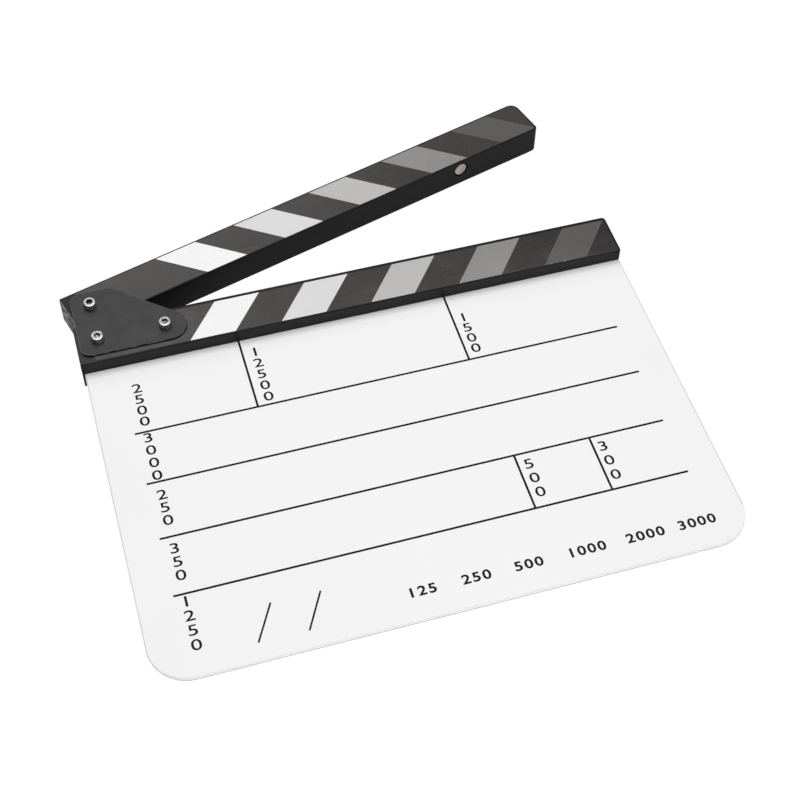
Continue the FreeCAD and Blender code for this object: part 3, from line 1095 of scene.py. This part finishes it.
def lock_nut():
    """Hexagon nut with chamfered corners and a rolled collar, hanging below its seat at the origin."""
    nut = turned([(nut_corner, -nut_hex_height), (nut_corner, 0)], sides=6)
    nut.rotation_euler = (0, 0, math.radians(30))
    bpy.ops.object.transform_apply()
    barrel = turned([
        (nut_corner - nut_chamfer, -nut_hex_height),
        (nut_corner, -nut_hex_height + nut_chamfer / 2),
        (nut_corner, -nut_chamfer / 2),
        (nut_corner - nut_chamfer, 0),
    ], sides=64)
    combine(nut, barrel, "INTERSECT")
    collar = turned([
        (collar_radius - collar_roll, -nut_height),
        (collar_radius - collar_roll / 2, -nut_height + collar_roll / 8),
        (collar_radius - collar_roll / 7, -nut_height + collar_roll / 2),
        (collar_radius, -nut_height + collar_roll),
        (collar_radius, -nut_hex_height + nut_chamfer),
    ], sides=64)
    combine(nut, collar, "UNION")
    bore = turned([
        (lip_radius, -nut_height - lip_height),
        (lip_radius, -nut_height + lip_height),
        (ring_radius, -nut_height + lip_height),
        (ring_radius, -ring_seat),
        (thread_bore, -ring_seat),
        (thread_bore, lip_height),
    ], sides=48)
    combine(nut, bore, "DIFFERENCE")
    nut.data.materials.append(bright)
    bpy.ops.object.mode_set(mode="EDIT")
    return finish_mesh(smooth_angle=35)


def set_in_place(original, name, place, turn):
    """Copy of a piece with its own mesh, turned about its axis and moved to its place."""
    copy = original.copy()
    copy.data = original.data.copy()
    bpy.context.collection.objects.link(copy)
    take(copy)
    copy.name = name
    copy.rotation_euler = (0, 0, math.radians(turn))
    copy.location = place
    bpy.ops.object.transform_apply()
    return copy


finish, tree, shader, where = new_finish("bright_steel")
smudge, scratch = marked(tree, where, steel_smudge)
tree.links.new(blend_colour(tree, smudge, steel, steel_dull), shader.inputs["Base Color"])
shader.inputs["Metallic"].default_value = 1.0
set_gloss(tree, shader, steel_roughness, (smudge, 0.1), (scratch, 0.15))
roughen(tree, shader, scratch, 0.05, 0.00003)
bright = finish


def painted_shade_steel(name, dark, light):
    """Material of steel darkened as painted shade: blotches of a dark and a lighter colour."""
    finish, tree, shader, where = new_finish(name)
    film = fade(tree, noise(tree, where.outputs["Object"], 1800.0, 3.0), 0.4, 0.65)
    tree.links.new(blend_colour(tree, film, dark, light), shader.inputs["Base Color"])
    set_gloss(tree, shader, shaded_steel_roughness, (film, -0.15))
    shader.inputs["Metallic"].default_value = shaded_steel_metallic
    return finish


# Painted shade: the pivot's socket is dark and the clamp sockets less so, as the shade inside them; the
# knurled side is darker, as the dark surroundings it reflects.
dark_socket_shade = painted_shade_steel("painted_shade_steel", socket_shade_black, shaded_steel_grey)
knurl_shade = painted_shade_steel("knurl_painted_shade", shaded_steel_grey, steel)
clamp_socket_shade = painted_shade_steel("clamp_socket_shade", clamp_shade_dark, clamp_shade_light)

finish, tree, shader, where = new_finish("nylon_insert")
aged = noise(tree, where.outputs["Object"], 700.0, 3.0)
tree.links.new(blend_colour(tree, aged, nylon_white, nylon_aged), shader.inputs["Base Color"])
set_gloss(tree, shader, nylon_roughness, (aged, 0.1))
soft_nylon = finish

screw = cap_screw()
washer = flat_washer()
nut = lock_nut()
for name, drive_turn in drive_turns:
    axis = screw_axis(name)
    for kind, original, height, turn in (
        ("_screw", screw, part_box(name + "_screw")[1].z - head_height, drive_turn),
        ("_washer", washer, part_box(name + "_washer")[0].z, 0),
        ("_lock_nut", nut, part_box(name + "_lock_nut")[1].z, 0),
    ):
        piece = set_in_place(original, name + kind + "_steel", axis + Vector((0, 0, height)), turn)
        if kind == "_screw" and name != "pivot":
            piece.data.materials[2] = clamp_socket_shade
        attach(piece, "slate")
        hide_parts(name + kind)
    frame["nodes"][name + "_nylon_ring"].material_slots[0].material = soft_nylon
for original in (screw, washer, nut):
    bpy.data.objects.remove(original)

# Studio
# The board rests on a lit white table: on a bottom corner, a clamp screw and the end of its stick.
# Light comes from a panel overhead, a softbox and a card behind and a weak panel in front.
table_rest = Vector((-0.08565, 0.16805, -0.0165))
table_normal = Vector((-0.0404, 0.04392, 0.99822))
table_size = 6
table_white = (0.93, 0.93, 0.93, 1)
table_shade_in_reflections = (0.45, 0.45, 0.45, 1)
table_seen = (0, 0, 0, 1)
table_glow = 0.85
table_seen_glow = 1.0
room_light = 0.05
room_seen_light = 1.0
overhead_power = 24.6
softbox_power = 1.35
low_card_power = 0.25
front_power = 2.4
camera_place = (-0.119206, -0.285990, 0.540942)
camera_turn = (37.2698, -0.7398, -16.4114)
camera_lens = 70.51
camera_sensor = 36.0
camera_near = 0.01

bpy.ops.object.select_all(action="DESELECT")
bpy.ops.mesh.primitive_plane_add(
    size=table_size, location=table_rest, rotation=table_normal.to_track_quat("Z", "Y").to_euler(),
)
table = bpy.context.object
table.name = "table"
finish, tree, shader, where = new_finish("white_table")
tone = noise(tree, where.outputs["Object"], 3.0, 2.0)
tree.links.new(fade(tree, tone, 0.3, 0.7, 0.55, 0.62), shader.inputs["Roughness"])
shader.inputs["Emission Color"].default_value = (1, 1, 1, 1)
rays = node(tree, "ShaderNodeLightPath").outputs
# Painted shade: in reflections the table is mid grey and gives no glow, as the shaded table under the
# board.
table_colour_with_reflected_shade = blend_colour(tree, rays["Is Glossy Ray"], table_white, table_shade_in_reflections)
tree.links.new(
    blend_colour(tree, rays["Is Camera Ray"], table_colour_with_reflected_shade, table_seen), shader.inputs["Base Color"],
)
seen_glow = calc(tree, "MULTIPLY_ADD", rays["Is Camera Ray"], table_seen_glow - table_glow, table_glow)
glow = calc(tree, "MULTIPLY_ADD", rays["Is Glossy Ray"], -table_glow, seen_glow)
tree.links.new(glow, shader.inputs["Emission Strength"])
table.data.materials.append(finish)

room = bpy.data.worlds.new("white_room")
room.use_nodes = True
room_walls = room.node_tree.nodes["Background"]
room_walls.inputs["Color"].default_value = (1, 1, 1, 1)
seen = node(room.node_tree, "ShaderNodeLightPath").outputs["Is Camera Ray"]
wall_light = calc(room.node_tree, "MULTIPLY_ADD", seen, room_seen_light - room_light, room_light)
room.node_tree.links.new(wall_light, room_walls.inputs["Strength"])
bpy.context.scene.world = room


def soft_light(name, place, target, width, height, power):
    """Rectangular soft light that looks at a target."""
    aim = (Vector(target) - Vector(place)).to_track_quat("-Z", "Y").to_euler()
    bpy.ops.object.light_add(type="AREA", location=place, rotation=aim)
    lamp = bpy.context.object
    lamp.name = name
    lamp.data.shape = "RECTANGLE"
    lamp.data.size = width
    lamp.data.size_y = height
    lamp.data.energy = power
    return lamp


soft_light("overhead_panel", (0.05, 0.33, 1.4), (0.05, 0.33, 0), 1.6, 1.6, overhead_power)
soft_light("softbox", (-0.21, 1.26, 0.92), (-0.07, 0.2, 0), 1.0, 0.4, softbox_power)
soft_light("low_card", (0.38, 1.28, 0.86), (0.06, 0.24, 0), 0.5, 0.3, low_card_power)
soft_light("front_panel", (0.45, -0.9, 0.9), (0, 0.1, 0), 1.2, 0.6, front_power)

bpy.ops.object.camera_add(location=camera_place, rotation=[math.radians(angle) for angle in camera_turn])
camera = bpy.context.object
camera.data.lens = camera_lens
camera.data.sensor_width = camera_sensor
camera.data.clip_start = camera_near
bpy.context.scene.camera = camera
bpy.context.scene.view_settings.view_transform = "Standard"
